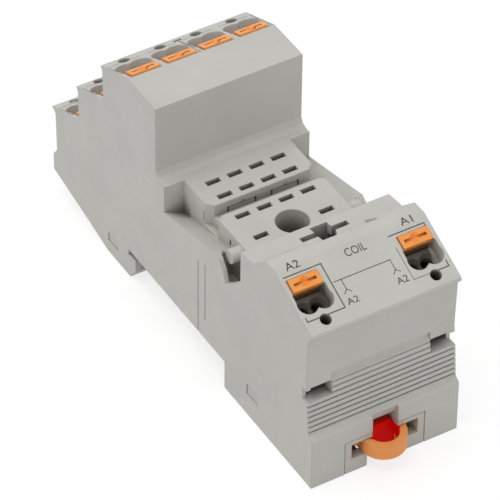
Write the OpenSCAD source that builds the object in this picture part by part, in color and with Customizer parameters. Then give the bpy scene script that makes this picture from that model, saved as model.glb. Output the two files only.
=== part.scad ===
// Rail-mounted socket for a four-pole plug-in relay, with push-in terminals.
// X is the width, Y runs along the socket from the release foot (-Y) to the
// contact terminals (+Y), Z is up. The origin is the middle of the 35 mm rail
// channel, on the plane of the underside.

/* [Body] */
// Width of the moulding, along X
body_w = 31; // [29:0.1:36]
// Height of the moulding, at the ridge of the terminal tower
body_h = 48.4; // [46:0.2:54]
// Distance from the rail's middle to the front face with the foot
front_len = 48; // [46:0.5:54]
// Distance from the rail's middle to the far end of the lowest tier
rear_len = 46.8; // [45:0.2:50]
// Thickness of the outer side walls
side_wall = 1.5; // [1.2:0.1:1.6]
// Height of the floor that the relay stands on
floor_z = 32; // [31:0.5:34]
// Thickness of that floor
floor_t = 3.5; // [3:0.1:4]
// Height of the ridge of the coil terminal block
coil_z = 42; // [41:0.2:44]
// Height of the back edge of the coil terminal block
shelf_z = 37.5; // [36.5:0.1:38.5]

/* [Relay well] */
// Y of the tower wall at the back of the relay
well_back = 7.4; // [6.5:0.1:8]
// Y of the coil block wall in front of the relay
well_front = -22.8; // [-24:0.1:-22]
// Half width of the block that holds the relay slots
block_hw = 11.3; // [10.8:0.1:11.8]
// Length of a relay slot, along X
slot_l = 2.9; // [2.4:0.1:3.2]
// Width of a relay slot, along Y
slot_w = 1.2; // [0.9:0.1:1.5]
// Pitch of the relay slots along X
slot_pitch = 4.6; // [4.4:0.1:4.8]
// Y of the slots of the normally closed contacts
row_nc = 1.4; // [1:0.1:1.8]
// Y of the slots of the normally open contacts
row_no = -2.8; // [-3:0.1:-2.4]
// Y of the slots of the common contacts
row_com = -9.15; // [-9.4:0.05:-8.8]
// Y of the two coil slots
row_coil = -15.6; // [-16:0.1:-15.2]
// Radius of the round hole in the floor
hole_r = 3.2; // [2.8:0.1:3.4]
// Y of the round hole
hole_y = -15.1; // [-15.4:0.1:-14.8]
// Depth of the round hole
hole_d = 10; // [6:0.5:11]

/* [Terminals] */
// Slope of the terminal tiers of the tower, in degrees
tier_tilt = 22.4; // [20:0.2:24]
// Slope of the coil terminal face, in degrees
coil_tilt = 24; // [22:0.5:25]
// Pitch of the terminals along X
term_pitch = 7.6; // [7.3:0.05:7.7]
// Distance from the middle to a coil terminal
coil_x = 11.4; // [11.2:0.1:11.5]
// Length of a release button, along X
btn_l = 6; // [5.2:0.1:6.2]
// Width of a release button, down the slope
btn_w = 2.6; // [2.2:0.1:2.8]
// Gap between a button and its pocket
btn_gap = 0.15; // [0.1:0.05:0.2]
// Height of a button above its face
btn_proud = 0.35; // [0.1:0.05:0.5]
// Travel of a release button
btn_travel = 1.2; // [0.8:0.1:1.5]
// Radius of a wire funnel at its mouth
funnel_r = 2.05; // [1.9:0.05:2.1]
// Depth of the steep pocket at the mouth of a funnel
funnel_d = 3.2; // [2:0.1:3.6]
// Radius of the straight wire hole
wire_r = 1.2; // [1:0.05:1.3]
// Distance between the two wire holes of a terminal
wire_pitch = 3.1; // [2.8:0.05:3.2]
// Distance from a button's middle down to its wire holes
wire_s = 3.95; // [3.9:0.05:4.3]
// Radius of a test hole
test_r = 1.1; // [0.9:0.05:1.2]
// Distance from a button's middle down to its test hole
test_s = 7.8; // [7.6:0.05:8]

/* [Rail and foot] */
// Width of the mounting rail
rail_w = 35; // [35:0.1:35.4]
// Height of the rail channel
channel_z = 6.4; // [6:0.1:7]
// Thickness of the slit that grips the rail's fixed edge
slit_t = 1.2; // [1.1:0.05:1.4]
// Depth of the slit under the rail's fixed edge
slit_d = 2.6; // [2:0.1:3]
// Reach of the foot's nose under the rail's other edge
nose_reach = 1.8; // [1.2:0.1:2.2]
// Travel of the release foot
foot_travel = 3; // [2:0.1:3.2]
// Half width of the foot's sliding plate
foot_hw = 6.5; // [5.5:0.1:7]
// Outer radius of the foot's pull loop
loop_r = 4.4; // [4:0.1:4.6]
// Thickness of the pull loop
loop_t = 1.4; // [1.1:0.1:1.6]
// Height of the pull loop
loop_h = 3.1; // [2.6:0.1:3.2]
// Running gap round the foot
foot_gap = 0.2; // [0.15:0.05:0.3]

/* [Grip] */
// Number of grip grooves across the front
grip_n = 9; // [6:1:10]
// Pitch of the grip grooves
grip_pitch = 1.16; // [1:0.02:1.2]
// Depth of a grip groove
grip_d = 0.35; // [0.2:0.05:0.5]

/* [Metal] */
// Thickness of the copper alloy strip
metal_t = 0.6; // [0.5:0.05:0.8]
// Thickness of the clamp spring strip
spring_t = 0.35; // [0.25:0.05:0.4]
// Wire diameter of the foot spring
foot_wire = 0.5; // [0.4:0.05:0.6]

/* [Hidden] */
$fn = 48;
eps = 0.05;
half_w = body_w / 2;
cavity_hw = half_w - side_wall;
floor_under = floor_z - floor_t;
rail_hw = rail_w / 2;
hook_nose = rail_hw - slit_d + 0.4;

// Ridge of the coil face, and the ends of its sloped top
coil_ridge = -(front_len - 13.7);
coil_lip = -(front_len - 0.8);
function coil_top(y) = coil_z + (y - coil_ridge) * tan(coil_tilt);

// Terminal faces: [y, z] of the middle of a button, with the slope
tier_step = 9.65;
tier_y = [for (k = [0:2]) well_back + 11.5 + k * tier_step];
tier_top_y = [for (k = [0:2]) tier_y[k] - 1.5];
low_tier_z = channel_z + 18.1;
tier_drop = (body_h - low_tier_z) / 2;
tier_z = [for (k = [0:2]) body_h - k * tier_drop];
tier_run = [10.2, 10.1, 10.2];
function btn_z(k) = tier_z[k] - 1.5 * tan(tier_tilt);
coil_btn_y = coil_ridge - 3.6;
coil_btn_z = coil_top(coil_btn_y);
columns = [for (i = [-1.5:1:1.5]) i * term_pitch];
slot_columns = [for (i = [-1.5:1:1.5]) i * slot_pitch];

// Terminal chamber in the frame of its sloped face: s runs down, n out
chamber_top = -6;
chamber_bot = -11.4;
chamber_s0 = -1.9;
chamber_s1 = wire_s + wire_r + 1.7;
cell_w = 6;
shaft_hw = cell_w / 2 - 0.3;
bar_s = wire_s + wire_r + 0.6;
shelf_top = chamber_bot + eps + metal_t;
loop_in = 1.3;

// Levels of the contact strips, one above the other
plate_top = channel_z + 1.6;
fork_z = floor_z - 9.4;
level_step = (fork_z - plate_top - 4.5) / 2;
level = [for (k = [2:-1:0]) plate_top + 1.4 + k * level_step];
coil_level = fork_z - 5.6;
riser_y = [for (k = [0:2]) tier_y[k] - 1.9];
coil_riser_y = coil_btn_y + 3.4;
slot_rows = [row_nc, row_no, row_com];

// Foot and its window
foot_z0 = 1.6;
foot_z1 = channel_z - slit_t - 0.1;
loop_z0 = 3.4;
window_hw = 7;
tongue_hw = 8.35;
tongue_z = 7.65;
scoop_hw = 2.7;
scoop_z = 9.2;
front_wall = 1.6;
front_in = -(front_len - front_wall);
foot_front = front_in + 0.1;
neck_len = foot_travel + 0.4;
spring_y0 = foot_front + 6.3;
spring_len = 9;
spring_hw = 1.9;
neck_hw = 3.5;
foot_back = foot_front + neck_len;
loop_y = -front_len + 0.6;
rear_wall = 2.5;
catch_y = [-29.1, 22.3];

// Small forms of the housing
low_top = fork_z - 1.1;
fork_room = 8.8;
strip_w = 2.6;
clamp_w = 5;
clamp_r = 1.65;
clamp_z = shelf_top + eps + clamp_r;
groove_y0 = -4.5;
groove_y1 = -7.4;
groove_z = floor_z - 2.7;
cheek_x = 7.5;
grip_z = channel_z + 6.5;
notch_x = 10.3;
notch_z0 = grip_z + 6.7;
notch_z1 = notch_z0 + 3.1;
boss_y = -16;
boss_r = 1.4;
boss_z = floor_z - 1.75;
pocket_z = floor_z - 7.8;
pocket_back = 4.4;
pit_y = -12.8;
pit_z = low_top + 1.2;
plate_z = tongue_z - 0.3;

tier_names = ["top", "mid", "low"];

// A (Y, Z) outline swept along X, half to each side of x
module along_x(width, x = 0) {
    translate([x, 0, 0])
        rotate([90, 0, 90])
            linear_extrude(height = width, center = true) children();
}

// A box given by its low and high corners
module span(low, high) {
    translate(low) cube(high - low);
}

// A cylinder along X, centred on x
module rod_x(r, length, x, y, z) {
    translate([x, y, z]) rotate([0, 90, 0]) cylinder(r = r, h = length, center = true);
}

// Puts its children in the sloped frame of a tower terminal
module at_tier(k, x) {
    translate([x, tier_y[k], btn_z(k)]) rotate([-tier_tilt, 0, 0]) children();
}

// Puts its children in the sloped frame of a coil terminal
module at_coil(x) {
    translate([x, coil_btn_y, coil_btn_z])
        rotate([0, 0, 180]) rotate([-coil_tilt, 0, 0]) children();
}

// All terminals: twelve on the tower and two on the coil block
module every_terminal() {
    for (k = [0:2], x = columns) at_tier(k, x) children();
    for (x = [-coil_x, coil_x]) at_coil(x) children();
}

// Side outline of the socket: tiers and tower at the back, relay well in the
// middle, coil block in front, and the rail channel with its hook below
module side_outline() {
    drop = [for (k = [0:2]) tier_run[k] * tan(tier_tilt)];
    y0 = tier_top_y[0];
    y1 = tier_top_y[1];
    y2 = tier_top_y[2];
    polygon(concat(
        [[-front_len, 0], [-front_len, grip_z - 1.6], [-front_len + 0.3, grip_z - 1.1]],
        [[-front_len + 1.1, grip_z - 0.7], [-front_len + 1.7, grip_z + 6.1]],
        [[-front_len + 2.4, grip_z + 11.1], [-front_len + 2, coil_z - 7.8]],
        [[coil_lip, coil_top(coil_lip) - 0.5], [coil_lip + 0.2, coil_top(coil_lip + 0.2)]],
        [[coil_ridge, coil_z], [coil_ridge + 3.1, coil_z - 0.1]],
        [[coil_ridge + 7.1, shelf_z + 0.6], [well_front, shelf_z], [well_front, floor_z]],
        [[well_back - 1.6, floor_z], [well_back - 0.5, floor_z + 0.5]],
        [[well_back, floor_z + 1.6], [well_back, body_h], [y0, body_h]],
        [[y0 + tier_run[0], body_h - drop[0]], [y0 + tier_run[0] - 0.6, body_h - drop[0] - 0.8]],
        [[y1 - 0.3, tier_z[1] + 1], [y1 - 0.1, tier_z[1]], [y1, tier_z[1]]],
        [[y1 + tier_run[1], tier_z[1] - drop[1]], [y1 + tier_run[1] - 0.6, tier_z[1] - drop[1] - 0.8]],
        [[y2 - 0.3, tier_z[2] + 1], [y2 - 0.1, tier_z[2]], [y2, tier_z[2]]],
        [[y2 + tier_run[2], tier_z[2] - drop[2]], [rear_len - 1.2, tier_z[2] - drop[2] - 0.8]],
        [[rear_len - 1.4, 10.5], [rear_len, 8.6], [rear_len, 4.8]],
        [[rear_len - 14, 1.8], [rear_len - 21, 0], [rail_hw - 0.2, 0]],
        [[hook_nose, 2.6], [hook_nose, channel_z - slit_t], [rail_hw + 0.4, channel_z - slit_t]],
        [[rail_hw + 0.4, channel_z], [-rail_hw, channel_z], [-rail_hw, 0]]));
}

// Level of the floor of the pocket beside the slot block
function pocket_floor(x, y) = pocket_z + 0.25 * (pocket_back - y) + 0.45 * (abs(x) - block_hw);

// Outline of the deeper end of that pocket, as seen from the side
module pit_outline() {
    z = pocket_floor(half_w, pit_y - 1.4);
    polygon([[well_front, z + 10], [well_front, z - 0.3], [-19.9, z - 3.1], [-17.6, z - 5],
        [-16.6, z - 2.6], [-15.4, z - 0.9], [pit_y - 1.4, z], [pit_y - 1.4, z + 10]]);
}

// What the inside of the moulding leaves free for the metal, below the terminals
module tower_cell() {
    polygon([[well_back - 1.5, plate_top + eps], [well_back - 1.5, level[0] + 3.6],
        [tier_y[0] + 0.5, level[0] + 3.6], [tier_y[0] + 0.5, level[1] + 3],
        [tier_y[1] + 0.5, level[1] + 3], [tier_y[1] + 0.5, level[2] + 3],
        [tier_y[2] + 0.5, level[2] + 3], [tier_y[2] + 0.5, plate_top + eps]]);
}

// The room of one clamp, in the frame of its terminal
module clamp_room() {
    span([-cell_w / 2, chamber_s0, chamber_bot], [cell_w / 2, chamber_s1, chamber_top]);
}

// What one terminal cuts from the moulding above its clamp
module terminal_cuts() {
    bl = btn_l / 2 + btn_gap;
    bw = btn_w / 2 + btn_gap;
    wall_r = funnel_r - 0.2;
    span([-bl, -bw, chamber_top - 1], [bl, bw, 4]);
    for (a = [-wire_pitch / 2, wire_pitch / 2]) translate([a, 0, 0]) {
        // Steep pocket that runs up to the button, and the funnel at its foot
        translate([0, wire_s, -funnel_d])
            cylinder(r1 = wall_r, r2 = funnel_r, h = funnel_d + eps);
        span([-wall_r, bw - eps, -funnel_d], [wall_r, wire_s, 4]);
        translate([0, wire_s, -funnel_d - 1.3])
            cylinder(r1 = wire_r, r2 = wall_r, h = 1.3 + eps);
        translate([0, wire_s, chamber_top - 1]) cylinder(r = wire_r, h = 4);
    }
    translate([0, test_s, -4]) cylinder(r = test_r, h = 6);
}

// Everything hollow inside the moulding
module housing_cavities() {
    // Recess that takes the base plate from below
    span([-cavity_hw, front_in, -1], [cavity_hw, rear_len - rear_wall, plate_top]);
    // Low room for the contact strips
    span([-cavity_hw, -front_len + 9, plate_top - eps], [cavity_hw, well_back - 1.4, low_top]);
    // Room for the forks below the relay slots
    span([-fork_room, well_front + 1.5, low_top - 1], [fork_room, well_back - 1.4, floor_under]);
    // Room under the cross-shaped module socket
    span([-6.4, coil_ridge + 3.2, low_top - 1], [6.4, well_front - 1.5, shelf_z - 2]);
    for (x = columns) along_x(cell_w, x) tower_cell();
    every_terminal() clamp_room();
    // Shafts from the clamps down to the strips
    for (k = [0:2], x = columns)
        span([x - shaft_hw, riser_y[k] - 1.5, level[k]],
            [x + shaft_hw, riser_y[k] + 1.5, btn_z(k) - 9]);
    for (x = [-coil_x, coil_x])
        span([x - shaft_hw, coil_riser_y - 1.4, low_top - 2],
            [x + shaft_hw, coil_riser_y + 1.4, coil_btn_z - 9.3]);
}

// One slot for a relay blade, down through the floor
module relay_slot(x, y) {
    span([x - slot_l / 2, y - slot_w / 2, floor_under - 1],
        [x + slot_l / 2, y + slot_w / 2, floor_z + 1]);
}

// Groove between the second and third slot rows, with a channel at each side
module floor_groove() {
    along_x(2 * block_hw + 1) polygon([[groove_y0, floor_z + 1], [groove_y0, groove_z],
        [groove_y1, groove_z], [groove_y1, floor_z + 1]]);
    for (s = [-1, 1]) translate([s * block_hw, 0, pocket_floor(block_hw, groove_y1)])
        linear_extrude(height = 20) polygon([[s, groove_y0 + 1.4], [0, groove_y0 + 1.4],
            [-s * 1.2, groove_y0 + 0.2], [-s * 1.2, groove_y1], [0, groove_y1 - 0.6],
            [s, groove_y1 - 0.6]]);
}

// Cross-shaped socket for a plug-in module, in the back of the coil block
module module_socket() {
    translate([0, well_front, shelf_z - 6]) linear_extrude(height = coil_z) {
        translate([-4.9, -3.85]) square([9.8, 1.35]);
        polygon([[-1.75, -0.9], [1.75, -0.9], [1.85, -4], [0.5, -7.3], [-1.75, -7.3]]);
    }
}

// Pocket beside the slot block, with a floor that falls inwards and to the back
module side_pocket(s) {
    x0 = block_hw;
    x1 = half_w + 1;
    mirror([s > 0 ? 0 : 1, 0, 0]) {
        intersection() {
            span([x0, pit_y - 1.4 - eps, 0], [x1, pocket_back, shelf_z]);
            multmatrix([[1, 0, 0, 0], [0, 1, 0, 0],
                [0.45, -0.25, 1, pocket_floor(0, 0)], [0, 0, 0, 1]])
                translate([0, -30, 0]) cube([30, 60, 30]);
        }
        along_x(x1 - x0, (x0 + x1) / 2) pit_outline();
        // Deeper pit below the bracket's pin, inside the outer wall
        translate([0, 0, pit_z]) linear_extrude(height = 12)
            polygon([[x0, pit_y], [half_w - 0.9, pit_y - 1.8], [half_w - 0.9, well_front],
                [x0, well_front]]);
        // Narrow slits in the block's wall
        span([x0 - 0.8, pit_y + 0.35, boss_z - 1.3], [x0 + 1, pit_y + 0.85, boss_z - 0.1]);
        span([x0 - 0.3, groove_y0 + 1.6, groove_z - 1.6], [x0 + 1, groove_y0 + 1.85, groove_z + 0.8]);
    }
}

// Grip grooves, the shadow groove above them and the two corner notches
module grip_cuts() {
    for (i = [0:grip_n - 1]) {
        z = grip_z + i * grip_pitch;
        y = -front_len + 1.1 + (z - grip_z + 0.7) * 0.088;
        along_x(z < notch_z0 - 0.6 ? body_w + 2 : 2 * notch_x) polygon([[y - 1, z - 0.34],
            [y + grip_d, z - 0.14], [y + grip_d, z + 0.14], [y - 1, z + 0.34]]);
    }
    rod_x(0.9, 2 * notch_x, 0, -front_len + 1.9, notch_z1 + 0.9);
    for (s = [-1, 1]) mirror([s > 0 ? 0 : 1, 0, 0]) {
        span([notch_x, -front_len, notch_z0], [notch_x + 4.4, -front_len + 6, notch_z1]);
        span([notch_x + 4.3, -front_len, notch_z0 - 0.2],
            [half_w + 1, -front_len + 3.7, notch_z1 - 0.4]);
    }
}

// Opening in the front wall for the base plate's tongue and the foot
module foot_window() {
    span([-tongue_hw - 0.15, -front_len - 1, -1],
        [tongue_hw + 0.15, front_in + eps, tongue_z + 0.15]);
    span([-scoop_hw, -front_len - 1, tongue_z], [scoop_hw, foot_front + 1.8, scoop_z]);
    along_x(2 * scoop_hw) polygon([[-front_len - 1, scoop_z + 4.8],
        [-front_len, scoop_z + 3.3], [front_in, scoop_z - eps], [-front_len - 1, scoop_z - eps]]);
}

// Windows in the side walls where the base plate's four catches snap in
module catches(gap, reach) {
    for (s = [-1, 1]) {
        mirror([s > 0 ? 0 : 1, 0, 0]) {
            span([cavity_hw - 0.3, catch_y[0] - gap, 5.1 - gap],
                [reach, catch_y[0] + 3.6 + gap, 7.2 + gap]);
            span([cavity_hw - 0.3, catch_y[1] - gap, 2.9 - gap],
                [reach, catch_y[1] + 3.2 + gap, 4.7 + gap]);
        }
    }
}

module housing() {
    color("#b9b8b2") difference() {
        union() {
            difference() {
                along_x(body_w) side_outline();
                housing_cavities();
                for (s = [-1, 1]) side_pocket(s);
            }
            // Blind boss round the hole in the floor
            translate([0, hole_y, floor_z - hole_d - 1.2])
                cylinder(r = hole_r + 1.2, h = hole_d + 1);
            // Stub pins that the relay's retaining bracket turns on
            for (s = [-1, 1])
                rod_x(boss_r, 3, s * (block_hw + 1), boss_y, boss_z);
        }
        every_terminal() terminal_cuts();
        // Slot for a marker, between the test holes of the top tier
        at_tier(0, 0) span([-0.8, test_s - 0.3, -1.5], [0.8, test_s + 0.5, 2]);
        for (x = slot_columns, y = slot_rows) relay_slot(x, y);
        for (x = [slot_columns[0], slot_columns[3]]) relay_slot(x, row_coil);
        translate([0, hole_y, floor_z - hole_d]) cylinder(r = hole_r, h = hole_d + 1);
        floor_groove();
        module_socket();
        grip_cuts();
        foot_window();
        catches(0.15, half_w + 1);
        // The shelf runs on between the two cheeks of the coil block
        along_x(2 * cheek_x) polygon([[coil_ridge + 7.1, shelf_z + 0.6],
            [coil_ridge + 3.7, shelf_z + 1.4], [coil_ridge + 2.7, coil_z - 0.05],
            [coil_ridge + 2.7, coil_z + 3], [coil_ridge + 7.1, coil_z + 3]]);
        // Parting lines on the sides
        for (s = [-1, 1]) {
            span([s * half_w - 0.15, -8.05, channel_z - 1], [s * half_w + 0.15, -7.8, 24]);
            span([s * half_w - 0.15, -10.55, 11], [s * half_w + 0.15, -10.3, 24.6]);
        }
    }
}

// Lower moulding: it closes the housing, holds the rail and guides the foot
module base_plate() {
    w = 2 * cavity_hw - 0.2;
    color("#aeada7") difference() {
        union() {
            difference() {
                union() {
                    along_x(w) intersection() {
                        side_outline();
                        translate([front_in + 0.1, -1])
                            square([rear_len - rear_wall - front_in - 0.2, plate_top + 1 - eps]);
                    }
                    span([-tongue_hw, -front_len + eps, 0], [tongue_hw, front_in + 0.2, tongue_z]);
                }
                // Channel of the foot's sliding plate
                span([-foot_hw - foot_gap, foot_back - foot_travel - foot_gap, foot_z0 - foot_gap],
                    [foot_hw + foot_gap, -rail_hw + 1, foot_z1 + foot_gap]);
            }
            // Post that the foot spring pushes against
            span([-1.2, spring_y0 - 1.3, foot_z0 - 0.6], [1.2, spring_y0, foot_z1 + 0.6]);
        }
        // Window of the loop's crossbar, and the gap below the loop
        span([-window_hw, -front_len - 1, loop_z0 - foot_gap],
            [window_hw, foot_front + loop_t + foot_gap, loop_z0 + loop_h + foot_gap]);
        span([-neck_hw - foot_gap, -front_len - 1, -1],
            [neck_hw + foot_gap, foot_back + foot_gap, foot_z1 + foot_gap]);
        span([-scoop_hw, -front_len - 1, 1], [scoop_hw, foot_front + 1.8, plate_top + 1]);
    }
    color("#aeada7") intersection() {
        catches(0, half_w - 0.15);
        along_x(body_w) side_outline();
    }
}

// Half disc with a square back that reaches to y, seen from above
module half_round(r, y) {
    translate([-r, 0]) square([2 * r, y]);
    intersection() {
        circle(r = r);
        translate([-r, -r]) square([2 * r, r + eps]);
    }
}

// Outline of the foot's pull loop with its crossbar, seen from above
module loop_outline() {
    bar = foot_front + loop_t - loop_y;
    translate([0, loop_y]) difference() {
        union() {
            half_round(loop_r, bar);
        }
        half_round(loop_r - loop_t, foot_front - loop_y);
    }
}

// Pointed wings of the loop's crossbar, seen from the front
module wing_outline() {
    tip = window_hw - 1.4;
    mid = loop_h / 2;
    polygon([[-tip, mid - 0.5], [-loop_r + 1, 0], [loop_r - 1, 0], [tip, mid - 0.5],
        [tip, mid + 0.5], [loop_r - 1, loop_h], [-loop_r + 1, loop_h], [-tip, mid + 0.5]]);
}

// Release foot: a sliding plate with a nose under the rail and a pull loop
module rail_foot() {
    color("#f39a4e") difference() {
        union() {
            along_x(2 * foot_hw) polygon([[foot_back, foot_z0], [-rail_hw - 0.6, foot_z0],
                [-rail_hw + nose_reach, foot_z1 - 1], [-rail_hw + nose_reach, foot_z1],
                [foot_back, foot_z1]]);
            span([-neck_hw, foot_front, foot_z0], [neck_hw, foot_back + eps, foot_z1]);
            span([-scoop_hw + foot_gap, foot_front, foot_z0],
                [scoop_hw - foot_gap, foot_front + loop_t, plate_z]);
            translate([0, 0, loop_z0]) linear_extrude(height = loop_h) loop_outline();
            translate([0, foot_front + loop_t, loop_z0]) rotate([90, 0, 0])
                linear_extrude(height = loop_t) wing_outline();
        }
        span([-spring_hw, spring_y0 - 1.5, 0], [spring_hw, spring_y0 + spring_len, channel_z]);
    }
}

// Compression spring between the base plate's post and the foot
module foot_spring() {
    turns = 7;
    steps = 14;
    sides = 6;
    r = 1.2;
    pts = [for (i = [0:turns * steps], j = [0:sides - 1])
        let (a = 360 * i / steps, b = 360 * j / sides, rr = r + foot_wire / 2 * cos(b))
        [rr * cos(a), spring_y0 + foot_wire / 2 + eps
            + (spring_len - foot_wire - 2 * eps) * i / (turns * steps)
            + foot_wire / 2 * sin(b) * 0.96, (foot_z0 + foot_z1) / 2 + rr * sin(a)]];
    side_faces = [for (i = [0:turns * steps - 1], j = [0:sides - 1])
        let (n = (j + 1) % sides)
        [i * sides + j, i * sides + n, (i + 1) * sides + n, (i + 1) * sides + j]];
    first = [for (j = [sides - 1:-1:0]) j];
    last = [for (j = [0:sides - 1]) turns * steps * sides + j];
    color("#c9ccd0") polyhedron(points = pts, faces = concat(side_faces, [first, last]));
}

// Release button: a body with a screwdriver slot, and a stem on the clamp
module button_shape() {
    color("#f7a050") difference() {
        union() {
            span([-btn_l / 2, -btn_w / 2, chamber_top - 0.4 + btn_travel],
                [btn_l / 2, btn_w / 2, btn_proud]);
            span([-btn_l / 2 + 0.6, -0.7, clamp_z + clamp_r + eps],
                [btn_l / 2 - 0.6, 0.7, chamber_top + 1]);
        }
        span([-btn_l / 2 + 0.7, -0.3, btn_proud - 0.6], [btn_l / 2 - 0.7, 0.3, 3]);
        translate([0, 0, btn_proud - 0.8]) cylinder(r1 = 0.25, r2 = 1.1, h = 0.8 + eps);
    }
}

// Bent spring strip that presses the wires against the contact's plate
module clamp_shape() {
    tip = bar_s - 0.35;
    top = clamp_z + clamp_r;
    color("#d4d6d8") union() {
        difference() {
            rod_x(clamp_r, clamp_w, 0, 0, clamp_z);
            rod_x(clamp_r - spring_t, clamp_w + 1, 0, 0, clamp_z);
            span([-clamp_w, 0, -20], [clamp_w, 5, 0]);
        }
        along_x(clamp_w) translate([-0.2, clamp_z - clamp_r]) square([3.2, spring_t]);
        along_x(clamp_w) polygon([[-0.3, top - spring_t / 2], [0, top], [tip, top - 2.2],
            [tip, top - 2.2 - spring_t], [0, top - spring_t]]);
    }
}

// The part of a contact inside the clamp room: wire plate and shelf
module contact_clamp() {
    span([-clamp_w / 2, bar_s, chamber_bot + eps], [clamp_w / 2, bar_s + metal_t, chamber_top - 0.3]);
    span([-clamp_w / 2, chamber_s0 + 0.2, chamber_bot + eps],
        [clamp_w / 2, bar_s + metal_t, shelf_top]);
}

// Fork for a relay blade, with its leg down to the strip
module fork(x, y, z) {
    for (s = [-1, 1])
        span([x - strip_w / 2, y + s * 0.45 - 0.2, fork_z],
            [x + strip_w / 2, y + s * 0.45 + 0.2, floor_under - 0.1]);
    span([x - strip_w / 2, y - 0.65, fork_z - metal_t], [x + strip_w / 2, y + 0.65, fork_z + eps]);
    span([x - strip_w / 2, y - metal_t / 2, z], [x + strip_w / 2, y + metal_t / 2, fork_z]);
}

// Strip that steps sideways from a slot's column to a terminal's column
module strip(xs, xt, y0, y1, z) {
    d = y1 > y0 ? 1 : -1;
    h = strip_w / 2;
    xa = min(xs, xt) - h;
    xb = max(xs, xt) + h;
    ya = min(y0 - d * metal_t / 2, y0 + d * strip_w);
    span([xa, ya, z], [xb, ya + strip_w + metal_t / 2, z + metal_t]);
    span([xt - h, min(y0, y1) - (d > 0 ? 0 : metal_t / 2), z],
        [xt + h, max(y0, y1) + (d > 0 ? metal_t / 2 : 0), z + metal_t]);
}

// Contact from a relay slot to a terminal of the tower
module tower_contact(k, c) {
    xs = slot_columns[c];
    xt = columns[c];
    mid = chamber_bot + eps + metal_t / 2;
    top = btn_z(k) + (mid - (riser_y[k] - tier_y[k]) * sin(tier_tilt)) / cos(tier_tilt);
    color("#c98a55") union() {
        fork(xs, slot_rows[k], level[k]);
        strip(xs, xt, slot_rows[k], riser_y[k], level[k]);
        span([xt - strip_w / 2, riser_y[k] - metal_t / 2, level[k]],
            [xt + strip_w / 2, riser_y[k] + metal_t / 2, top]);
        at_tier(k, xt) contact_clamp();
    }
}

// Contact from a coil slot to a coil terminal; s is the side
module coil_contact(s) {
    xs = s * slot_columns[3];
    xt = s * coil_x;
    mid = chamber_bot + eps + metal_t / 2;
    top = coil_btn_z + (mid + (coil_riser_y - coil_btn_y) * sin(coil_tilt)) / cos(coil_tilt);
    color("#c98a55") union() {
        fork(xs, row_coil, coil_level);
        strip(xs, xt, row_coil, coil_riser_y, coil_level);
        span([xt - strip_w / 2, coil_riser_y - metal_t / 2, coil_level],
            [xt + strip_w / 2, coil_riser_y + metal_t / 2, top]);
        at_coil(xt) contact_clamp();
    }
}

housing();
base_plate();
rail_foot();
foot_spring();
for (k = [0:2], c = [0:3]) {
    tag = str(tier_names[k], "_", c + 1);
    at_tier(k, columns[c]) button_shape();
    tower_contact(k, c);
    at_tier(k, columns[c]) clamp_shape();
}
for (c = [0:1]) {
    x = (2 * c - 1) * coil_x;
    at_coil(x) button_shape();
    coil_contact(2 * c - 1);
    at_coil(x) clamp_shape();
}
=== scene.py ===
"""Finishes, printed marks and a plain studio for the rail-mounted relay socket."""

import logging
import math
from dataclasses import dataclass, field
from enum import Enum

import bpy
from mathutils import Matrix, Vector


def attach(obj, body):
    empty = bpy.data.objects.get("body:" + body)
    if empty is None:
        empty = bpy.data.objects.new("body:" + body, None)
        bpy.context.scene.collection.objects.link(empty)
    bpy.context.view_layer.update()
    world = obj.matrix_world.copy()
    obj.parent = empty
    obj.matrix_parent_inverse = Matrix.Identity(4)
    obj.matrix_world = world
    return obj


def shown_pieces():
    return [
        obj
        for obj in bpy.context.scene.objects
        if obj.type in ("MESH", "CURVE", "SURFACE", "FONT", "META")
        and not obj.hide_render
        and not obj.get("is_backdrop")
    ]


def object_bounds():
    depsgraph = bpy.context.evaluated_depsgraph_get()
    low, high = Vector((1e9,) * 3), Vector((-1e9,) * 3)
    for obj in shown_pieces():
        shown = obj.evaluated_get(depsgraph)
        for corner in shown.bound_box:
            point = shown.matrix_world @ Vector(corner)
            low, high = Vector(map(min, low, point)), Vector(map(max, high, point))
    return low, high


MM = 0.001
log = logging.getLogger("relay_socket")

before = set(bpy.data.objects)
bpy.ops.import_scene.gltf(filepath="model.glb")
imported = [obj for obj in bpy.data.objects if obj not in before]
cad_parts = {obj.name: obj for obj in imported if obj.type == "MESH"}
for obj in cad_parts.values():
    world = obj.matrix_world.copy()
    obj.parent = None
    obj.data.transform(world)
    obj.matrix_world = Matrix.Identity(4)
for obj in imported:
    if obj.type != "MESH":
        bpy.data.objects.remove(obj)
CAD_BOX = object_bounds()

COIL_LEAN = math.radians(24)
BUTTON_PROUD = 0.35 * MM

Colour = tuple[float, float, float]
Stroke = tuple[float, float, float, float]


def linear(red: int, green: int, blue: int) -> Colour:
    """Turns an 8-bit display colour into the linear values that shaders take.

    Args:
        red: Red, 0 to 255.
        green: Green, 0 to 255.
        blue: Blue, 0 to 255.

    Returns:
        The three linear values.
    """
    parts = [v / 255 for v in (red, green, blue)]
    return tuple(p / 12.92 if p <= 0.04045 else ((p + 0.055) / 1.055) ** 2.4 for p in parts)


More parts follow.
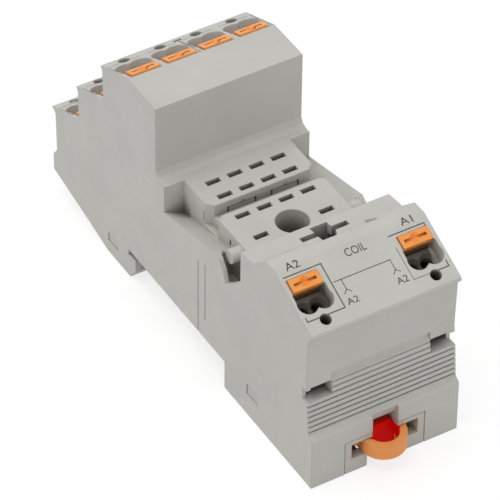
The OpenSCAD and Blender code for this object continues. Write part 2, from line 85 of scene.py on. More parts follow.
class NodeSheet:
    """Lays nodes in one tree and joins them, so that a finish reads as a short list."""

    def __init__(self, tree: bpy.types.NodeTree) -> None:
        """Starts on a tree.

        Args:
            tree: The shader or geometry tree to fill.
        """
        self.tree = tree

    def add(self, kind: str, inputs: dict | None = None, **settings: object) -> bpy.types.Node:
        """Adds one node.

        Args:
            kind: Blender's name of the node's type.
            inputs: Socket name or number to a value, or to the socket that feeds it.
            settings: Attributes of the node itself.

        Returns:
            The new node.
        """
        node = self.tree.nodes.new(kind)
        for name, value in settings.items():
            setattr(node, name, value)
        for key, value in (inputs or {}).items():
            if isinstance(value, bpy.types.NodeSocket):
                self.tree.links.new(value, node.inputs[key])
            else:
                node.inputs[key].default_value = value
        return node

    def math(self, operation: str, first: object, second: object = 0.0) -> bpy.types.NodeSocket:
        """Adds one Math node and returns its result.

        Args:
            operation: The Math node's operation.
            first: Its first value or socket.
            second: Its second value or socket.

        Returns:
            The socket that holds the result.
        """
        return self.add("ShaderNodeMath", {0: first, 1: second}, operation=operation).outputs[0]

    def noise(self, coords: bpy.types.NodeSocket, grain: float, detail: float = 3.0) -> bpy.types.NodeSocket:
        """Adds a noise whose grains are about so large, and returns its value.

        Args:
            coords: The coordinates it reads, in metres.
            grain: The size of a grain, in metres.
            detail: The noise's octaves.

        Returns:
            The socket of its value, from 0 to 1.
        """
        inputs = {"Vector": coords, "Scale": 1 / grain, "Detail": detail, "Roughness": 0.55}
        return self.add("ShaderNodeTexNoise", inputs).outputs["Fac"]

    def spread(self, value: bpy.types.NodeSocket, low: float, high: float) -> bpy.types.NodeSocket:
        """Stretches the middle of a noise over a range.

        Args:
            value: The noise.
            low: What 0.3 becomes.
            high: What 0.7 becomes.

        Returns:
            The socket of the stretched value.
        """
        inputs = {"Value": value, "From Min": 0.3, "From Max": 0.7, "To Min": low, "To Max": high}
        return self.add("ShaderNodeMapRange", inputs).outputs["Result"]

    def closed_in(self, reach: float, shut: float, free: float, most: float,
                  own: bool) -> bpy.types.NodeSocket:
        """Finds where the walls within one reach close a surface in, for painted shade there.

        Args:
            reach: How far a wall still counts.
            shut: The share of open sky that gets the most painted shade.
            free: The share of open sky that gets none.
            most: The largest share of painted shade.
            own: Whether only the piece's own walls count.

        Returns:
            The socket of the painted shade's share.
        """
        open_sky = self.add("ShaderNodeAmbientOcclusion", {"Distance": reach}, samples=8, only_local=own)
        inputs = {"Value": open_sky.outputs["AO"], "From Min": shut, "From Max": free,
                  "To Min": most, "To Max": 0.0}
        return self.add("ShaderNodeMapRange", inputs).outputs["Result"]

    def blend(self, share: object, first: object, second: object) -> bpy.types.NodeSocket:
        """Mixes two colours.

        Args:
            share: How much of the second one shows.
            first: The first colour or socket.
            second: The second colour or socket.

        Returns:
            The socket of the mixed colour.
        """
        colours = [(*c, 1.0) if isinstance(c, tuple) else c for c in (first, second)]
        inputs = {"Factor": share, 6: colours[0], 7: colours[1]}
        return self.add("ShaderNodeMix", inputs, data_type="RGBA").outputs[2]


def new_material(name: str) -> tuple[bpy.types.Material, NodeSheet, bpy.types.NodeSocket]:
    """Makes an empty material.

    Args:
        name: The finish's name.

    Returns:
        The material, its sheet, and Object coordinates to read.
    """
    material = bpy.data.materials.new("finish_" + name)
    material.use_nodes = True
    material.node_tree.nodes.clear()
    sheet = NodeSheet(material.node_tree)
    return material, sheet, sheet.add("ShaderNodeTexCoord").outputs["Object"]


def shade(sheet: NodeSheet, inputs: dict) -> None:
    """Ends a material in one Principled shader with these inputs."""
    shader = sheet.add("ShaderNodeBsdfPrincipled", inputs)
    sheet.add("ShaderNodeOutputMaterial", {"Surface": shader.outputs[0]})


@dataclass(frozen=True)
class Sink:
    """The room below the coil block's sloped face, with painted shade that grows darker with depth."""

    start: float
    end: float
    most: float
    half: float = 14.2 * MM
    front: float = -43.8 * MM
    back: float = -34.3 * MM
    top: float = 42 * MM
    slope: float = math.tan(COIL_LEAN)

    def share(self, sheet: NodeSheet, coords: bpy.types.NodeSocket) -> bpy.types.NodeSocket:
        """Finds how deep below the face a surface lies.

        Args:
            sheet: The material's sheet.
            coords: Object coordinates.

        Returns:
            The socket of the painted shade's share, 0 at the face and outside the walls.
        """
        x, y, z = sheet.add("ShaderNodeSeparateXYZ", {0: coords}).outputs
        inside = sheet.math("LESS_THAN", sheet.math("ABSOLUTE", x), self.half)
        inside = sheet.math("MULTIPLY", inside, sheet.math("GREATER_THAN", y, self.front))
        inside = sheet.math("MULTIPLY", inside, sheet.math("LESS_THAN", y, self.back))
        rise = sheet.math("MULTIPLY", sheet.math("SUBTRACT", y, self.back), self.slope)
        face = sheet.math("ADD", rise, self.top)
        inputs = {"Value": sheet.math("SUBTRACT", face, z), "From Min": self.start, "From Max": self.end,
                  "To Min": 0.0, "To Max": self.most}
        grown = sheet.add("ShaderNodeMapRange", inputs).outputs["Result"]
        return sheet.math("MULTIPLY", inside, grown)


@dataclass(frozen=True)
class MouldedPlastic:
    """Glass-filled moulding with a fine eroded skin, softened edges and painted shade in its recesses."""

    name: str
    tone: Colour
    # Colour of the painted shade in recesses.
    recess_shade: Colour
    edge: float = 0.28 * MM
    skin: float = 0.16 * MM
    relief: float = 0.010 * MM
    gloss: float = 0.50
    cloud: float = 9 * MM
    speck: float = 0.35 * MM
    wear: float = 3 * MM
    # Reaches, open-sky ranges and most share of the painted shade in holes and corners.
    recess: float = 4 * MM
    recess_sky: tuple[float, float] = (0.08, 0.54)
    shaft: float = 11 * MM
    shaft_sky: tuple[float, float] = (0.03, 0.26)
    shade_most: float = 0.84
    # Where the painted shade is cut back: the pockets on the flanks.
    flank_inner: float = 11.2 * MM
    flank_front: float = -23.0 * MM
    flank_back: float = 2.0 * MM
    flank_shade_cut: float = 0.72
    sink: Sink | None = None

    def make(self) -> bpy.types.Material:
        """Makes the material: cloudy tone, fine specks, painted shade in recesses, uneven sheen and grained
        skin.

        Returns:
            The new material.
        """
        material, sheet, coords = new_material(self.name)
        cloud = sheet.noise(coords, self.cloud, 2.0)
        speck = sheet.noise(coords, self.speck, 2.0)
        dark = tuple(c * 0.93 for c in self.tone)
        light = tuple(min(c * 1.05, 1.0) for c in self.tone)
        base = sheet.blend(sheet.spread(cloud, 0.25, 0.75), dark, light)
        base = sheet.blend(sheet.spread(speck, 0.0, 0.16), base, tuple(c * 0.72 for c in self.tone))
        # Painted shade: darker in holes and tight corners, less in the flank pockets, and below the coil
        # block's face.
        shaded = sheet.math("MULTIPLY", self.depth(sheet), self.flank_shade_mask(sheet, coords))
        if self.sink is not None:
            shaded = sheet.math("MAXIMUM", shaded, self.sink.share(sheet, coords))
        base = sheet.blend(shaded, base, self.recess_shade)
        worn = sheet.noise(coords, self.wear, 4.0)
        rough = sheet.spread(worn, self.gloss - 0.05, self.gloss + 0.07)
        rounded = sheet.add("ShaderNodeBevel", {"Radius": self.edge}, samples=6).outputs[0]
        grain = sheet.noise(coords, self.skin, 2.0)
        bump = sheet.add("ShaderNodeBump", {"Strength": 0.5, "Distance": self.relief,
                                            "Height": grain, "Normal": rounded})
        shade(sheet, {"Base Color": base, "Roughness": rough, "Normal": bump.outputs[0], "IOR": 1.5})
        return material

    def depth(self, sheet: NodeSheet) -> bpy.types.NodeSocket:
        """Finds how far down a hole or a tight corner the surface lies.

        Args:
            sheet: The material's sheet.

        Returns:
            The socket of the painted shade's share, 0 in the open.
        """
        near = sheet.closed_in(self.recess, *self.recess_sky, most=self.shade_most, own=True)
        far = sheet.closed_in(self.shaft, *self.shaft_sky, most=1.0, own=True)
        return sheet.math("MAXIMUM", near, far)

    def flank_shade_mask(self, sheet: NodeSheet, coords: bpy.types.NodeSocket) -> bpy.types.NodeSocket:
        """Marks where the painted shade applies: the pockets on the flanks get little of it.

        Args:
            sheet: The material's sheet.
            coords: Object coordinates.

        Returns:
            The socket of the painted shade's share, small in the flank pockets.
        """
        x, y, _ = sheet.add("ShaderNodeSeparateXYZ", {0: coords}).outputs
        flank = sheet.math("GREATER_THAN", sheet.math("ABSOLUTE", x), self.flank_inner)
        flank = sheet.math("MULTIPLY", flank, sheet.math("GREATER_THAN", y, self.flank_front))
        flank = sheet.math("MULTIPLY", flank, sheet.math("LESS_THAN", y, self.flank_back))
        return sheet.math("SUBTRACT", 1.0, sheet.math("MULTIPLY", flank, self.flank_shade_cut))


@dataclass(frozen=True)
class BrightPlastic:
    """Satin coloured plastic that lets a little light through, with painted shade in wells and, where a sink
    is set, below the coil block's face.
    """

    name: str
    tone: Colour
    depth: Colour
    edge: float = 0.18 * MM
    shine: float = 0.35
    # Reach, open-sky range, most share and colour of the painted shade in wells.
    well: float = 3.0 * MM
    well_sky: tuple[float, float] = (0.10, 0.48)
    sunk: float = 0.75
    well_shade: Colour = (0.09, 0.05, 0.03)
    sink: Sink | None = None
    core: Colour | None = None
    core_half: float = 3.15 * MM
    core_front: float = -48.3 * MM
    core_back: float = -44.4 * MM

    def make(self) -> bpy.types.Material:
        """Makes the material, with a core of another colour where the piece has one, and painted shade in
        wells.

        Returns:
            The new material.
        """
        material, sheet, coords = new_material(self.name)
        flow = sheet.noise(coords, 2.4 * MM, 3.0)
        base = sheet.blend(sheet.spread(flow, 0.0, 0.55), self.tone, self.depth)
        if self.core is not None:
            base = sheet.blend(self.core_mask(sheet, coords), base, self.core)
        # Painted shade: darker where other parts close the surface in, and below the coil block's face.
        sunk = sheet.closed_in(self.well, *self.well_sky, most=self.sunk, own=False)
        if self.sink is not None:
            sunk = sheet.math("MAXIMUM", sunk, self.sink.share(sheet, coords))
        base = sheet.blend(sunk, base, self.well_shade)
        rough = sheet.spread(sheet.noise(coords, 0.9 * MM, 3.0), 0.30, 0.44)
        rounded = sheet.add("ShaderNodeBevel", {"Radius": self.edge}, samples=6).outputs[0]
        skin = sheet.noise(coords, 0.22 * MM, 2.0)
        bump = sheet.add("ShaderNodeBump", {"Strength": 0.35, "Distance": 0.006 * MM,
                                            "Height": skin, "Normal": rounded})
        shade(sheet, {"Base Color": base, "Roughness": rough, "Normal": bump.outputs[0], "IOR": 1.5,
                      "Specular IOR Level": self.shine,
                      "Subsurface Weight": 0.12, "Subsurface Scale": 0.8 * MM})
        return material

    def core_mask(self, sheet: NodeSheet, coords: bpy.types.NodeSocket) -> bpy.types.NodeSocket:
        """Marks where the core shows: a plate behind the loop.

        Args:
            sheet: The material's sheet.
            coords: Object coordinates.

        Returns:
            The socket of the mask, 1 on the core.
        """
        x, y, _ = sheet.add("ShaderNodeSeparateXYZ", {0: coords}).outputs
        near = sheet.math("LESS_THAN", sheet.math("ABSOLUTE", x), self.core_half)
        behind = sheet.math("GREATER_THAN", y, self.core_front)
        ahead = sheet.math("LESS_THAN", y, self.core_back)
        return sheet.math("MULTIPLY", near, sheet.math("MULTIPLY", behind, ahead))


@dataclass(frozen=True)
class StripMetal:
    """Rolled metal strip or wire, with fine lines along the rolling and a little tarnish."""

    name: str
    tone: Colour
    tarnish: Colour
    lines: Colour = (0.05 * MM, 1.6 * MM, 0.05 * MM)
    gloss: float = 0.3

    def make(self) -> bpy.types.Material:
        """Makes the material: stretched lines in the sheen, and cloudy tarnish.

        Returns:
            The new material.
        """
        material, sheet, coords = new_material(self.name)
        cloud = sheet.noise(coords, 2.5 * MM, 3.0)
        base = sheet.blend(sheet.spread(cloud, 0.0, 0.6), self.tone, self.tarnish)
        scale = tuple(MM / v for v in self.lines)
        stretched = sheet.add("ShaderNodeMapping", {"Vector": coords, "Scale": scale}).outputs[0]
        lines = sheet.noise(stretched, 1 * MM, 3.0)
        rough = sheet.spread(lines, self.gloss - 0.07, self.gloss + 0.1)
        bump = sheet.add("ShaderNodeBump", {"Strength": 0.25, "Distance": 0.004 * MM, "Height": lines})
        shade(sheet, {"Base Color": base, "Roughness": rough, "Normal": bump.outputs[0], "Metallic": 1.0})
        return material


@dataclass(frozen=True)
class PrintInk:
    """Pad-printed ink, a little thin in places."""

    name: str
    tone: Colour
    ground: Colour
    thin: float = 0.35

    def make(self) -> bpy.types.Material:
        """Makes the material: the ink with the moulding's tone showing through.

        Returns:
            The new material.
        """
        material, sheet, coords = new_material(self.name)
        wear = sheet.noise(coords, 0.5 * MM, 4.0)
        base = sheet.blend(sheet.spread(wear, 0.0, self.thin), self.tone, self.ground)
        rough = sheet.spread(sheet.noise(coords, 0.2 * MM, 2.0), 0.5, 0.65)
        shade(sheet, {"Base Color": base, "Roughness": rough, "IOR": 1.45})
        return material


GREY = linear(203, 201, 195)
PLATE_GREY = linear(199, 197, 191)
# Colour of the painted shade in recesses and corners of the mouldings.
RECESS_SHADE = linear(78, 68, 58)
# Painted shade below the coil block's sloped face, on the housing's pockets and on the buttons' sides.
POCKET_SINK = Sink(start=0.35 * MM, end=3.2 * MM, most=0.8)
BUTTON_SINK = Sink(start=0.45 * MM, end=1.6 * MM, most=0.9)


class Finish(Enum):
    """Every finish on the socket."""

    HOUSING = MouldedPlastic("housing_grey", GREY, RECESS_SHADE, sink=POCKET_SINK)
    PLATE = MouldedPlastic("base_grey", PLATE_GREY, RECESS_SHADE, edge=0.2 * MM)
    BUTTON = BrightPlastic("button_orange", linear(255, 168, 84), linear(252, 150, 62), sink=BUTTON_SINK)
    FOOT = BrightPlastic("foot_orange", linear(255, 172, 104), linear(250, 156, 84), shine=0.05,
                         core=linear(255, 8, 3))
    CONTACT = StripMetal("contact_alloy", linear(214, 206, 190), linear(186, 160, 128))
    CLAMP = StripMetal("clamp_steel", linear(206, 207, 208), linear(178, 178, 180), gloss=0.26)
    SPRING = StripMetal("spring_steel", linear(200, 200, 200), linear(164, 160, 155), gloss=0.34)
    INK = PrintInk("print_ink", linear(46, 44, 42), GREY, thin=0.2)
    FAINT_INK = PrintInk("print_ink_faint", linear(104, 102, 98), GREY, thin=0.5)

    def material(self) -> bpy.types.Material:
        """Returns the finish's material, made at its first use."""
        return bpy.data.materials.get("finish_" + self.value.name) or self.value.make()


def dress(node: str, finish: Finish) -> None:
    """Gives a CAD node its finish.

    Args:
        node: The node's name.
        finish: The finish it gets.
    """
    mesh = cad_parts[node].data
    mesh.materials.clear()
    mesh.materials.append(finish.material())


def own_piece(name: str, mesh: bpy.types.Mesh, body: str) -> bpy.types.Object:
    """Links a finished mesh as a piece that rides on a body.

    Args:
        name: The piece's name.
        mesh: Its mesh, in the row frame.
        body: The CAD body it moves with.

    Returns:
        The new object.
    """
    piece = bpy.data.objects.new(name, mesh)
    bpy.context.scene.collection.objects.link(piece)
    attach(piece, body)
    return piece


class ShapeTree:
    """A Geometry Nodes tree with named inputs, run once on a mesh."""

    def __init__(self, name: str, inputs: dict[str, str]) -> None:
        """Makes the tree with its inputs.

        Args:
            name: The tree's name.
            inputs: Input name to socket type, after the geometry.
        """
        self.tree = bpy.data.node_groups.new(name, "GeometryNodeTree")
        sockets = self.tree.interface
        sockets.new_socket("Geometry", in_out="INPUT", socket_type="NodeSocketGeometry")
        for label, kind in inputs.items():
            sockets.new_socket(label, in_out="INPUT", socket_type=kind)
        sockets.new_socket("Geometry", in_out="OUTPUT", socket_type="NodeSocketGeometry")
        self.sheet = NodeSheet(self.tree)
        self.source = self.sheet.add("NodeGroupInput").outputs

    def end(self, geometry: bpy.types.NodeSocket) -> None:
        """Ends the tree: instances made real, and the ink set.

        Args:
            geometry: The socket of what the tree has made.
        """
        real = self.sheet.add("GeometryNodeRealizeInstances", {"Geometry": geometry}).outputs[0]
        inked = self.sheet.add("GeometryNodeSetMaterial", {"Geometry": real, "Material": self.source["Ink"]})
        self.sheet.add("NodeGroupOutput", {0: inked.outputs[0]})

    def run(self, mesh: bpy.types.Mesh, values: dict[str, object]) -> bpy.types.Mesh:
        """Runs the tree on a mesh.

        Args:
            mesh: What goes in.
            values: Input name to value.

        Returns:
            The result as a plain mesh.
        """
        carrier = bpy.data.objects.new(mesh.name + "_carrier", mesh)
        bpy.context.scene.collection.objects.link(carrier)
        modifier = carrier.modifiers.new("shape", "NODES")
        modifier.node_group = self.tree
        for item in self.tree.interface.items_tree:
            if item.in_out == "INPUT" and item.name in values:
                modifier[item.identifier] = values[item.name]
        evaluated = carrier.evaluated_get(bpy.context.evaluated_depsgraph_get())
        result = bpy.data.meshes.new_from_object(evaluated)
        carrier.modifiers.remove(modifier)
        bpy.data.objects.remove(carrier)
        return result


def printed_line_tree() -> ShapeTree:
    """Makes the tree that turns loose edges into flat printed lines.

    Returns:
        The tree, with the inputs Line Width, Ink Height and Ink.
    """
    shape = ShapeTree("printed_lines", {"Line Width": "NodeSocketFloat", "Ink Height": "NodeSocketFloat",
                                        "Ink": "NodeSocketMaterial"})
    path = shape.sheet.add("GeometryNodeMeshToCurve", {"Mesh": shape.source["Geometry"]}).outputs[0]
    section = shape.sheet.add("GeometryNodeCurvePrimitiveQuadrilateral",
                              {"Width": shape.source["Line Width"], "Height": shape.source["Ink Height"]})
    flank_shade_mask = shape.sheet.add("GeometryNodeCurveToMesh", {"Curve": path, "Profile Curve": section.outputs[0],
                                                        "Fill Caps": True})
    shape.end(flank_shade_mask.outputs[0])
    return shape


def repeat_tree() -> ShapeTree:
    """Makes the tree that repeats one printed pattern at leaning points.

    Returns:
        The tree, with the inputs Pattern and Ink. Each point has its turn in the attribute lean.
    """
    shape = ShapeTree("repeated_marks", {"Pattern": "NodeSocketObject", "Ink": "NodeSocketMaterial"})
    pattern = shape.sheet.add("GeometryNodeObjectInfo", {"Object": shape.source["Pattern"]},
                              transform_space="ORIGINAL")
    lean = shape.sheet.add("GeometryNodeInputNamedAttribute", {"Name": "lean"}, data_type="FLOAT_VECTOR")
    turn = shape.sheet.add("FunctionNodeEulerToRotation", {0: lean.outputs[0]})
    points = shape.sheet.add("GeometryNodeInstanceOnPoints", {
        "Points": shape.source["Geometry"], "Instance": pattern.outputs["Geometry"],
        "Rotation": turn.outputs[0]})
    shape.end(points.outputs[0])
    return shape


@dataclass
class Face:
    """A flat face that carries print, with x across and y towards the tower or up."""

    origin: Vector
    lean: float

    def place(self) -> Matrix:
        """Returns the matrix from the face's own plane to the row frame."""
        return Matrix.Translation(self.origin) @ Matrix.Rotation(self.lean, 4, "X")


def prism(name: str, outline: tuple[tuple[float, float], ...], half: float) -> bpy.types.Mesh:
    """Makes a closed prism along X.

    Args:
        name: The mesh's name.
        outline: y and z of its corners in mm, anticlockwise as seen from +X.
        half: Half its length, in mm.

    Returns:
        The mesh.
    """
    n = len(outline)
    points = [Vector((x, y, z)) * MM for x in (-half, half) for y, z in outline]
    sides = [(i, (i + 1) % n, (i + 1) % n + n, i + n) for i in range(n)]
    mesh = bpy.data.meshes.new(name)
    mesh.from_pydata(points, [], [tuple(reversed(range(n))), tuple(range(n, 2 * n)), *sides])
    return mesh


def button_face(tag: str, lean: float, proud: float) -> Face:
    """Finds the sloped face round a release button.

    Args:
        tag: The terminal's tag.
        lean: The face's turn about X.
        proud: How far the button stands above the face.

    Returns:
        The face, with its origin under the middle of the button.
    """
    turned = [Matrix.Rotation(-lean, 3, "X") @ v.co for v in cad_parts["button_" + tag].data.vertices]
    top = max(v.z for v in turned)
    rim = [v for v in turned if v.z > top - 0.01 * MM]
    middle = [(min(v[i] for v in rim) + max(v[i] for v in rim)) / 2 for i in (0, 1)]
    return Face(Matrix.Rotation(lean, 3, "X") @ Vector((*middle, top - proud)), lean)


@dataclass
class Printer:
    """Prints lines and words on faces of the housing."""

    body: str = "socket"
    slot: str = "housing_grey"
    ink_height: float = 0.02 * MM
    lines: ShapeTree = field(default_factory=printed_line_tree)
    repeats: ShapeTree = field(default_factory=repeat_tree)

    def flat_lines(self, name: str, strokes: list[Stroke], width: float, finish: Finish) -> bpy.types.Mesh:
        """Draws straight strokes in a plane, each with square ends.

        Args:
            name: The mesh's name.
            strokes: x and y of each stroke's two ends, in mm.
            width: The line's width, in mm.
            finish: The ink.

        Returns:
            The mesh, flat on z = 0.
        """
        mesh = bpy.data.meshes.new(name + "_edges")
        points, edges = [], []
        for x0, y0, x1, y1 in strokes:
            along = Vector((x1 - x0, y1 - y0, 0)).normalized() * width / 2
            edges.append((len(points), len(points) + 1))
            points += [(Vector((x0, y0, 0)) - along) * MM, (Vector((x1, y1, 0)) + along) * MM]
        mesh.from_pydata(points, edges, [])
        values = {"Line Width": width * MM, "Ink Height": self.ink_height, "Ink": finish.material()}
        return self.lines.run(mesh, values)

    def draw(self, name: str, strokes: list[Stroke], width: float, face: Face,
             finish: Finish = Finish.INK) -> None:
        """Prints strokes on a face.

        Args:
            name: The piece's name.
            strokes: x and y of each stroke's two ends on the face, in mm.
            width: The line's width, in mm.
            face: Where they go.
            finish: The ink.
        """
        mesh = self.flat_lines(name, strokes, width, finish)
        mesh.transform(face.place())
        own_piece(name, mesh, self.body)

    def repeat(self, name: str, strokes: list[Stroke], width: float, faces: list[Face],
               finish: Finish) -> None:
        """Prints the same strokes on several faces.

        Args:
            name: The piece's name.
            strokes: x and y of each stroke's two ends on a face, in mm.
            width: The line's width, in mm.
            faces: Where they go.
            finish: The ink.
        """
        self.copies(name, self.flat_lines(name, strokes, width, finish), faces, finish)

    def copies(self, name: str, shape: bpy.types.Mesh, faces: list[Face], finish: Finish) -> None:
        """Repeats one mesh on several faces, as one piece.

        Args:
            name: The piece's name.
            shape: The mesh, in a face's own plane.
            faces: Where the copies go.
            finish: Their finish.
        """
        pattern = bpy.data.objects.new(name + "_pattern", shape)
        bpy.context.scene.collection.objects.link(pattern)
        mesh = bpy.data.meshes.new(name + "_points")
        mesh.from_pydata([f.origin for f in faces], [], [])
        lean = mesh.attributes.new("lean", "FLOAT_VECTOR", "POINT")
        for item, face in zip(lean.data, faces):
            item.vector = (face.lean, 0, 0)
        result = self.repeats.run(mesh, {"Pattern": pattern, "Ink": finish.material()})
        bpy.data.objects.remove(pattern)
        own_piece(name, result, self.body)

    def word(self, name: str, text: str, box: Stroke, face: Face) -> None:
        """Prints a word that fills a box on a face.

        Args:
            name: The piece's name.
            text: The word.
            box: Its left, lower, right and upper edges on the face, in mm.
            face: Where it goes.
        """
        font = bpy.data.curves.new(name + "_font", "FONT")
        font.body, font.size, font.offset = text, 1.0, 0.004
        font.extrude = self.ink_height / (2 * MM)
        font.resolution_u = 4
        carrier = bpy.data.objects.new(name + "_carrier", font)
        bpy.context.scene.collection.objects.link(carrier)
        evaluated = carrier.evaluated_get(bpy.context.evaluated_depsgraph_get())
        mesh = bpy.data.meshes.new_from_object(evaluated)
        bpy.data.objects.remove(carrier)
        low = Vector([min(v.co[i] for v in mesh.vertices) for i in range(3)])
        high = Vector([max(v.co[i] for v in mesh.vertices) for i in range(3)])
        wide, tall = (box[2] - box[0]) / (high.x - low.x), (box[3] - box[1]) / (high.y - low.y)
        mesh.transform(Matrix.Translation((-low.x, -low.y, 0)))
        mesh.transform(Matrix.Diagonal((wide, tall, 1, 1)))
        mesh.transform(Matrix.Translation((box[0], box[1], 0)))
        mesh.transform(face.place() @ Matrix.Scale(MM, 4))
        mesh.materials.clear()
        mesh.materials.append(Finish.INK.material())
        own_piece(name, mesh, self.body)


class Assembly:
    """A part of the socket that may print marks and gives its nodes their finishes."""

    def build(self, printer: Printer) -> None:
        """Makes the assembly's own pieces; this one has none."""

    def dress(self) -> None:
        """Gives the assembly's CAD nodes their finishes; this one has none."""


@dataclass
class TerminalTower(Assembly):
    """The twelve contact terminals in three tiers, with their buttons, clamps and printed frames."""

    tiers: tuple[str, ...] = ("top", "mid", "low")
    columns: int = 4
    lean: float = -math.radians(22.4)
    proud: float = BUTTON_PROUD
    line: float = 0.19
    half_pair: float = 7.52
    frame_top: float = -1.35
    frame_foot: float = 7.1
    test_hole: float = 1.0
    pitch: float = 7.6
    wall_half: float = 1.25
    wall: tuple[tuple[float, float], ...] = (
        (45.57, 18.0), (45.57, 19.52), (46.34, 19.99), (46.18, 20.246), (45.27, 19.684), (45.27, 18.0))

    def build(self, printer: Printer) -> None:
        """Prints one frame round each pair of terminals, broken where a hole is, and walls off the low holes.

        Args:
            printer: What prints.
        """
        half, top, foot, hole = self.half_pair, self.frame_top, self.frame_foot, self.test_hole
        strokes = [(-half, 1.5, -half, foot), (half, top, half, foot), (3.3, top, half, top)]
        for middle in (-self.pitch / 2, self.pitch / 2):
            strokes += [(middle - 3.0, foot, middle - hole, foot), (middle + hole, foot, middle + 3.0, foot)]
        faces = []
        for tier in self.tiers:
            found = [button_face(f"{tier}_{c + 1}", self.lean, self.proud) for c in range(self.columns)]
            faces += [Face((found[c].origin + found[c + 1].origin) / 2, self.lean) for c in (0, 2)]
        printer.repeat("tower_frames", strokes, self.line, faces, Finish.FAINT_INK)
        middles = [(c - (self.columns - 1) / 2) * self.pitch for c in range(self.columns)]
        spots = [Face(Vector((x, 0, 0)) * MM, 0.0) for x in middles]
        wall = prism("test_hole_wall", self.wall, self.wall_half)
        printer.copies("test_hole_walls", wall, spots, Finish.HOUSING)

    def dress(self) -> None:
        """Gives the tower's buttons, contacts and clamps their finishes."""
        for tag in [f"{tier}_{c + 1}" for tier in self.tiers for c in range(self.columns)]:
            dress_terminal(tag)


def dress_terminal(tag: str) -> None:
    """Gives one terminal's button, contact and clamp their finishes.

    Args:
        tag: The terminal's tag.
    """
    dress("button_" + tag, Finish.BUTTON)
    dress("contact_" + tag, Finish.CONTACT)
    dress("clamp_" + tag, Finish.CLAMP)


@dataclass
class CoilBlock(Assembly):
    """The two coil terminals with their frames, words and circuit lines."""

    lean: float = COIL_LEAN
    proud: float = BUTTON_PROUD
    line: float = 0.22
    thin_line: float = 0.16
    frame_top: float = 2.1
    frame_foot: float = -7.1
    test_hole: float = 0.95

    def build(self, printer: Printer) -> None:
        """Prints everything on the coil block's sloped face.

        Args:
            printer: What prints.
        """
        left, right = (button_face(f"coil_{c}", self.lean, self.proud) for c in (1, 2))
        middle = Face((left.origin + right.origin) / 2, self.lean)
        top, foot, hole = self.frame_top, self.frame_foot, self.test_hole
        printer.draw("frame_coil_1", [
            (-3.3, top, 4.35, top), (4.35, top, 4.35, foot), (hole, foot, 4.35, foot),
            (-3.3, foot, -hole, foot), (-3.3, foot, -3.3, -6.3)],
            self.line, left)
        printer.draw("frame_coil_2", [
            (-4.4, top, 3.0, top), (3.0, top, 3.0, 0.3), (3.1, -6.0, 3.1, foot), (hole, foot, 3.1, foot)],
            self.line, right)
        printer.draw("frame_coil_2_side", [(-4.2, foot, -hole, foot), (-4.2, -0.4, -4.2, foot)],
                     self.thin_line, right, Finish.FAINT_INK)
        self.draw_circuit(printer, middle)
        printer.word("word_a2", "A2", (-13.45, 3.0, -10.6, 4.55), middle)
        printer.word("word_a1", "A1", (10.3, 3.0, 12.85, 4.5), middle)
        printer.word("word_coil", "COIL", (-2.0, 1.4, 2.3, 3.0), middle)
        printer.word("word_a2_left", "A2", (-6.25, -7.0, -3.85, -5.75), middle)
        printer.word("word_a2_right", "A2", (4.1, -6.95, 6.45, -5.6), middle)

    def draw_circuit(self, printer: Printer, face: Face) -> None:
        """Prints the line that joins the two A2 contacts, with a plug fork at each end.

        Args:
            printer: What prints.
            face: The sloped face, with its origin midway between the terminals.
        """
        strokes = [(-6.5, -2.0, 5.05, -2.0)]
        for x in (-5.1, 5.05):
            strokes += [(x, -2.0, x, -4.1), (x, -4.1, x - 0.7, -4.75), (x, -4.1, x + 0.7, -4.7)]
        strokes.append((-5.16, -2.06, -5.04, -1.94))
        printer.draw("circuit_lines", strokes, self.thin_line, face)

    def dress(self) -> None:
        """Gives the coil terminals their finishes."""
        for tag in ("coil_1", "coil_2"):
            dress_terminal(tag)


@dataclass
class RelayWell(Assembly):
    """The contact diagrams on the wall of the groove in the relay's floor."""

    wall_y: float = -4.5 * MM
    diagram_z: float = 30.4
    leg: float = 1.3
    leg_width: float = 0.42
    line: float = 0.16
    spans: tuple[tuple[float, float], ...] = ((-7.2, -1.4), (2.0, 7.6))

    def build(self, printer: Printer) -> None:
        """Prints the two changeover diagrams.

        Args:
            printer: What prints.
        """
        face = Face(Vector((0, self.wall_y, 0)), math.radians(90))
        legs, bars = [], []
        for start, end in self.spans:
            z, middle = self.diagram_z, (start + end) / 2
            legs += [(x, z, x, z - self.leg) for x in (start, end)]
            bars += [(start, z, end, z), (middle - 0.1, z, middle + 0.1, z + 0.45),
                     (middle + 0.1, z + 0.45, middle + 0.5, z + 0.45)]
        printer.draw("diagram_legs", legs, self.leg_width, face)
        printer.draw("diagram_bars", bars, self.line, face)


@dataclass
class Mouldings(Assembly):
    """The housing, the base plate, and the release foot with its spring."""

    finishes: dict[str, Finish] = field(default_factory=lambda: {
        "housing": Finish.HOUSING, "base_plate": Finish.PLATE,
        "rail_foot": Finish.FOOT, "foot_spring": Finish.SPRING})

    def dress(self) -> None:
        """Gives each moulding its finish."""
        for node, finish in self.finishes.items():
            dress(node, finish)


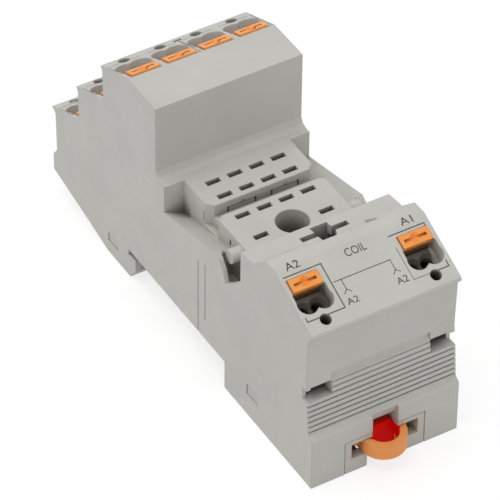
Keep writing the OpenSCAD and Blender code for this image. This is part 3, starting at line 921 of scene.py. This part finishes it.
@dataclass
class Studio:
    """White floor, level light and the camera."""

    position: Vector = field(default_factory=lambda: Vector((-324.75, -536.13, 579.66)) * MM)
    right: Vector = field(default_factory=lambda: Vector((0.859118, -0.511705, 0.008624)))
    up: Vector = field(default_factory=lambda: Vector((0.337632, 0.579364, 0.741850)))
    lens: float = 328.4
    sky: float = 0.645
    key: float = 0.82
    key_from: Vector = field(default_factory=lambda: Vector((-0.25, 0.10, 1.0)))
    key_spread: float = math.radians(40)
    floor_half: float = 3.0

    def build(self) -> None:
        """Makes the floor, the light and the camera."""
        bpy.context.scene.view_settings.view_transform = "Standard"
        self.build_floor()
        self.build_sky()
        self.build_key()
        self.build_camera()

    def seen(self, sheet: NodeSheet) -> bpy.types.NodeSocket:
        """Marks camera, glossy and transmission rays.

        Args:
            sheet: The tree's sheet.

        Returns:
            The socket that is 1 for those rays.
        """
        path = sheet.add("ShaderNodeLightPath").outputs
        pair = sheet.math("MAXIMUM", path["Is Camera Ray"], path["Is Glossy Ray"])
        return sheet.math("MAXIMUM", pair, path["Is Transmission Ray"])

    def build_floor(self) -> None:
        """Makes the floor, white where it is seen, with the object's shadow kept."""
        material, sheet, _ = new_material("floor_white")
        plain = sheet.add("ShaderNodeBsdfDiffuse", {"Color": (0.78, 0.78, 0.78, 1)})
        seen = sheet.add("ShaderNodeBsdfDiffuse", {"Color": (0.32, 0.32, 0.32, 1)})
        glow = sheet.add("ShaderNodeEmission", {"Color": (1, 1, 1, 1), "Strength": 0.75})
        both = sheet.add("ShaderNodeAddShader", {0: seen.outputs[0], 1: glow.outputs[0]})
        mixed = sheet.add("ShaderNodeMixShader",
                          {0: self.seen(sheet), 1: plain.outputs[0], 2: both.outputs[0]})
        sheet.add("ShaderNodeOutputMaterial", {"Surface": mixed.outputs[0]})
        mesh = bpy.data.meshes.new("floor")
        h, z = self.floor_half, CAD_BOX[0].z - 0.05 * MM
        mesh.from_pydata([(-h, -h, z), (h, -h, z), (h, h, z), (-h, h, z)], [], [(0, 1, 2, 3)])
        mesh.materials.append(material)
        floor = bpy.data.objects.new("floor", mesh)
        bpy.context.scene.collection.objects.link(floor)
        floor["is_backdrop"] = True

    def build_sky(self) -> None:
        """Makes the world: soft light all round, white where it is seen."""
        world = bpy.data.worlds.new("studio")
        world.use_nodes = True
        world.node_tree.nodes.clear()
        sheet = NodeSheet(world.node_tree)
        soft = sheet.add("ShaderNodeBackground", {"Color": (1, 1, 1, 1), "Strength": self.sky})
        white = sheet.add("ShaderNodeBackground", {"Color": (1, 1, 1, 1), "Strength": 1.0})
        mixed = sheet.add("ShaderNodeMixShader",
                          {0: self.seen(sheet), 1: soft.outputs[0], 2: white.outputs[0]})
        sheet.add("ShaderNodeOutputWorld", {"Surface": mixed.outputs[0]})
        bpy.context.scene.world = world

    def build_key(self) -> None:
        """Makes the one broad lamp, high behind the tower's side."""
        lamp = bpy.data.lights.new("key", "SUN")
        lamp.energy, lamp.angle = self.key, self.key_spread
        key = bpy.data.objects.new("key", lamp)
        key.rotation_euler = self.key_from.to_track_quat("Z", "Y").to_euler()
        bpy.context.scene.collection.objects.link(key)

    def build_camera(self) -> None:
        """Makes the camera and sets it as the scene's."""
        data = bpy.data.cameras.new("camera")
        data.lens, data.sensor_width, data.clip_start, data.clip_end = self.lens, 36.0, 0.01, 20.0
        back = self.right.cross(self.up).normalized()
        camera = bpy.data.objects.new("camera", data)
        rows = [(self.right[i], self.up[i], back[i], self.position[i]) for i in range(3)]
        camera.matrix_world = Matrix((*rows, (0, 0, 0, 1)))
        bpy.context.scene.collection.objects.link(camera)
        bpy.context.scene.camera = camera


def main() -> None:
    """Builds and dresses every sub-assembly in order."""
    logging.basicConfig(level=logging.INFO, format="%(name)s: %(message)s")
    printer = Printer()
    for assembly in (Mouldings(), TerminalTower(), CoilBlock(), RelayWell()):
        assembly.build(printer)
        assembly.dress()
        log.info("%s done", type(assembly).__name__)
    Studio().build()
    for piece in sorted(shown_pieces(), key=lambda o: o.name):
        log.info("piece %s: %d faces", piece.name, len(piece.data.polygons))


if __name__ == "__main__":
    main()
